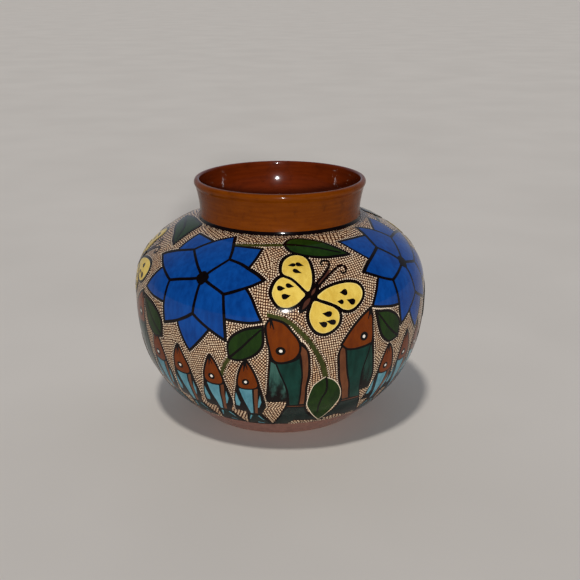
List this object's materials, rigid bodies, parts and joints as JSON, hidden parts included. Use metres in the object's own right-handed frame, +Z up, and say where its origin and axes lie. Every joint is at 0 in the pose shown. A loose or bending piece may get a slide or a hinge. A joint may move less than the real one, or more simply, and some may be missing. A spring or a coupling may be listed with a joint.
{
  "type": "clay olla",
  "caption": "Round-bellied clay olla with a flat base and a short flared collar, painted and varnished outside, for holding water, dry goods or flowers.",
  "frame": {"origin": "centre of the flat base, on the surface that the pot stands on", "axes": "+Z up along the pot's axis of revolution, +X to the right and -Y towards the viewer of the picture"},
  "size_m": [0.19, 0.19, 0.155],
  "materials": {
    "painted_clay": "cream and red-brown hatched slip ground with painted figures under a glossy clear varnish",
    "varnished_clay": "red-brown slip under a glossy clear varnish",
    "luting_slip": "fired joining slip, matte",
    "bare_clay": "bare fired clay, matte"
  },
  "bodies": {
    "root": {"lower_bowl": "painted_clay", "shoulder_dome": "painted_clay", "neck_collar": "varnished_clay", "rim_coil": "varnished_clay", "belly_seam_slip": "luting_slip", "collar_seam_slip": "luting_slip", "rim_seam_slip": "luting_slip", "belly_seam_coil": "bare_clay"}
  },
  "joints": []
}
